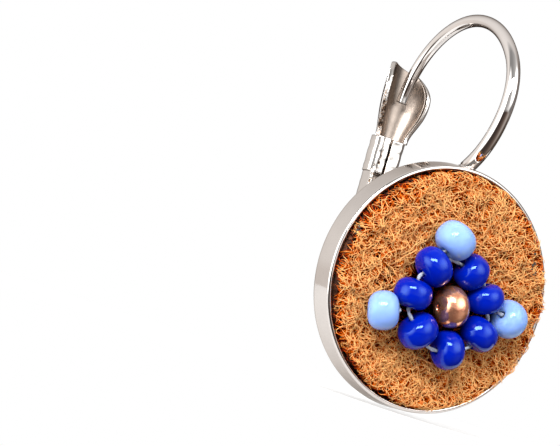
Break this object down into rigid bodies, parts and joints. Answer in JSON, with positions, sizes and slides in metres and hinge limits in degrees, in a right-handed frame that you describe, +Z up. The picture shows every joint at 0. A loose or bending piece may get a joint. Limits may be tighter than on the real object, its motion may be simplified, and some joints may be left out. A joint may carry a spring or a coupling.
{
  "type": "leverback earring",
  "caption": "Round drop earring: a bead flower sewn on curly fibre in a metal tray, hung from a bent ear wire that a hinged lever closes.",
  "frame": {"origin": "the seat of the ear lobe, under the crest of the ear wire", "axes": "+Z up from the tray to the crest, -Y out of the bead flower's face, +X to the flower's right as it is looked at"},
  "size_m": [0.0182, 0.0186, 0.0294],
  "materials": {
    "polished_metal": "polished, warm silver, with faint scuffs on the tray's wall",
    "curly_fibre": "dense curly orange-tan fibres",
    "cobalt_glass": "opaque glossy cobalt blue glass",
    "sky_glass": "opaque glossy light blue glass",
    "copper_metal": "polished copper-coloured metal",
    "beading_thread": "light grey beading thread"
  },
  "bodies": {
    "earring": {"tray_and_ear_wire": "polished_metal", "hinge_pin": "polished_metal", "fibre_pad": "curly_fibre", "blue_bead_1": "cobalt_glass", "blue_bead_2": "cobalt_glass", "blue_bead_3": "cobalt_glass", "blue_bead_4": "cobalt_glass", "blue_bead_5": "cobalt_glass", "blue_bead_6": "cobalt_glass", "blue_bead_7": "cobalt_glass", "sky_bead_1": "sky_glass", "sky_bead_2": "sky_glass", "sky_bead_3": "sky_glass", "copper_bead": "copper_metal", "bead_thread": "beading_thread"},
    "lever": {"lever": "polished_metal"}
  },
  "joints": [
    {"name": "lever_hinge", "type": "hinge", "parent": "earring", "child": "lever", "pos_m": [0, 0.00651, -0.01585], "axis": [-1, 0, 0], "range_deg": [0, 80]}
  ]
}
